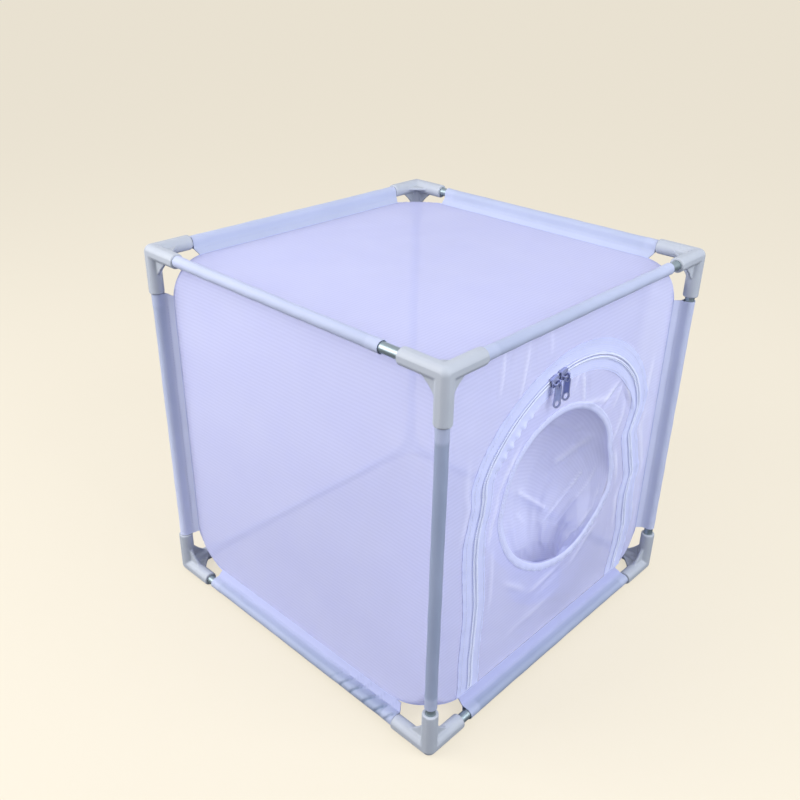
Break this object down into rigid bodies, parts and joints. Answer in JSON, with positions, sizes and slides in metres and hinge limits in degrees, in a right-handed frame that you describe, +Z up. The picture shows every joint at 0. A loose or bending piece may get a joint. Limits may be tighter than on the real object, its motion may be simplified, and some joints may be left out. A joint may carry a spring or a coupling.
{
  "type": "mesh insect cage",
  "caption": "Cube insect cage: fine mesh bag hung by cloth sleeves in a frame of tubes and corner connectors, with a zipped mesh door, arm hole and arm sleeve.",
  "frame": {"origin": "middle of the base, on the floor", "axes": "+Z up, +X to the right and -Y towards whoever faces the door"},
  "size_m": [0.4152, 0.4152, 0.4152],
  "materials": {
    "connector_plastic": "satin moulded, pale grey",
    "tube_metal": "satin, grey with a green tinge",
    "mesh_cloth": "fine sheer knitted mesh, white with a lavender cast",
    "sleeve_cloth": "plain woven polyester, white",
    "tape_cloth": "woven zip tape and binding, white",
    "coil_nylon": "nylon monofilament",
    "slider_metal": "dark nickel plated"
  },
  "bodies": {
    "cage": {"connector_bottom_front_left": "connector_plastic", "connector_bottom_front_right": "connector_plastic", "connector_bottom_back_left": "connector_plastic", "connector_bottom_back_right": "connector_plastic", "connector_top_front_left": "connector_plastic", "connector_top_front_right": "connector_plastic", "connector_top_back_left": "connector_plastic", "connector_top_back_right": "connector_plastic", "tube_top_front": "tube_metal", "tube_top_back": "tube_metal", "tube_bottom_front": "tube_metal", "tube_bottom_back": "tube_metal", "tube_top_left": "tube_metal", "tube_top_right": "tube_metal", "tube_bottom_left": "tube_metal", "tube_bottom_right": "tube_metal", "tube_front_left": "tube_metal", "tube_front_right": "tube_metal", "tube_back_left": "tube_metal", "tube_back_right": "tube_metal", "pole_sleeve_top_front": "sleeve_cloth", "pole_sleeve_top_back": "sleeve_cloth", "pole_sleeve_bottom_front": "sleeve_cloth", "pole_sleeve_bottom_back": "sleeve_cloth", "pole_sleeve_top_left": "sleeve_cloth", "pole_sleeve_top_right": "sleeve_cloth", "pole_sleeve_bottom_left": "sleeve_cloth", "pole_sleeve_bottom_right": "sleeve_cloth", "pole_sleeve_front_left": "sleeve_cloth", "pole_sleeve_front_right": "sleeve_cloth", "pole_sleeve_back_left": "sleeve_cloth", "pole_sleeve_back_right": "sleeve_cloth", "mesh_panel_left": "mesh_cloth", "mesh_panel_right": "mesh_cloth", "mesh_panel_front": "mesh_cloth", "mesh_panel_back": "mesh_cloth", "mesh_panel_bottom": "mesh_cloth", "mesh_panel_top": "mesh_cloth", "zip_tape_outer": "tape_cloth", "zip_coil_outer": "coil_nylon"},
    "door": {"door_mesh": "mesh_cloth", "arm_hole_binding": "tape_cloth", "arm_sleeve": "mesh_cloth", "arm_sleeve_cuff": "tape_cloth", "zip_tape_inner": "tape_cloth", "zip_coil_inner": "coil_nylon"},
    "slider_left": {"zip_slider_left": "slider_metal"},
    "slider_right": {"zip_slider_right": "slider_metal"},
    "pull_left": {"zip_ring_left": "slider_metal", "zip_tab_left": "slider_metal"},
    "pull_right": {"zip_ring_right": "slider_metal", "zip_tab_right": "slider_metal"}
  },
  "joints": [
    {"name": "door_drop", "type": "hinge", "parent": "cage", "child": "door", "pos_m": [0.006, -0.188, 0.0218], "axis": [1, 0, 0], "range_deg": [0, 90], "deforming": ["zip_tape_outer", "zip_coil_outer"]},
    {"name": "slider_left_run", "type": "hinge", "parent": "door", "child": "slider_left", "pos_m": [0.006, -0.1904, 0.1896], "axis": [0, -1, 0], "range_deg": [0, 35]},
    {"name": "slider_right_run", "type": "hinge", "parent": "door", "child": "slider_right", "pos_m": [0.006, -0.1904, 0.1896], "axis": [0, 1, 0], "range_deg": [0, 59]},
    {"name": "pull_left_lift", "type": "hinge", "parent": "slider_left", "child": "pull_left", "pos_m": [-0.03359, -0.196, 0.33946], "axis": [-0.9668, 0, -0.2554], "range_deg": [-12, 150]},
    {"name": "pull_right_lift", "type": "hinge", "parent": "slider_right", "child": "pull_right", "pos_m": [-0.01985, -0.196, 0.34243], "axis": [-0.986, 0, -0.1668], "range_deg": [-12, 150]}
  ]
}
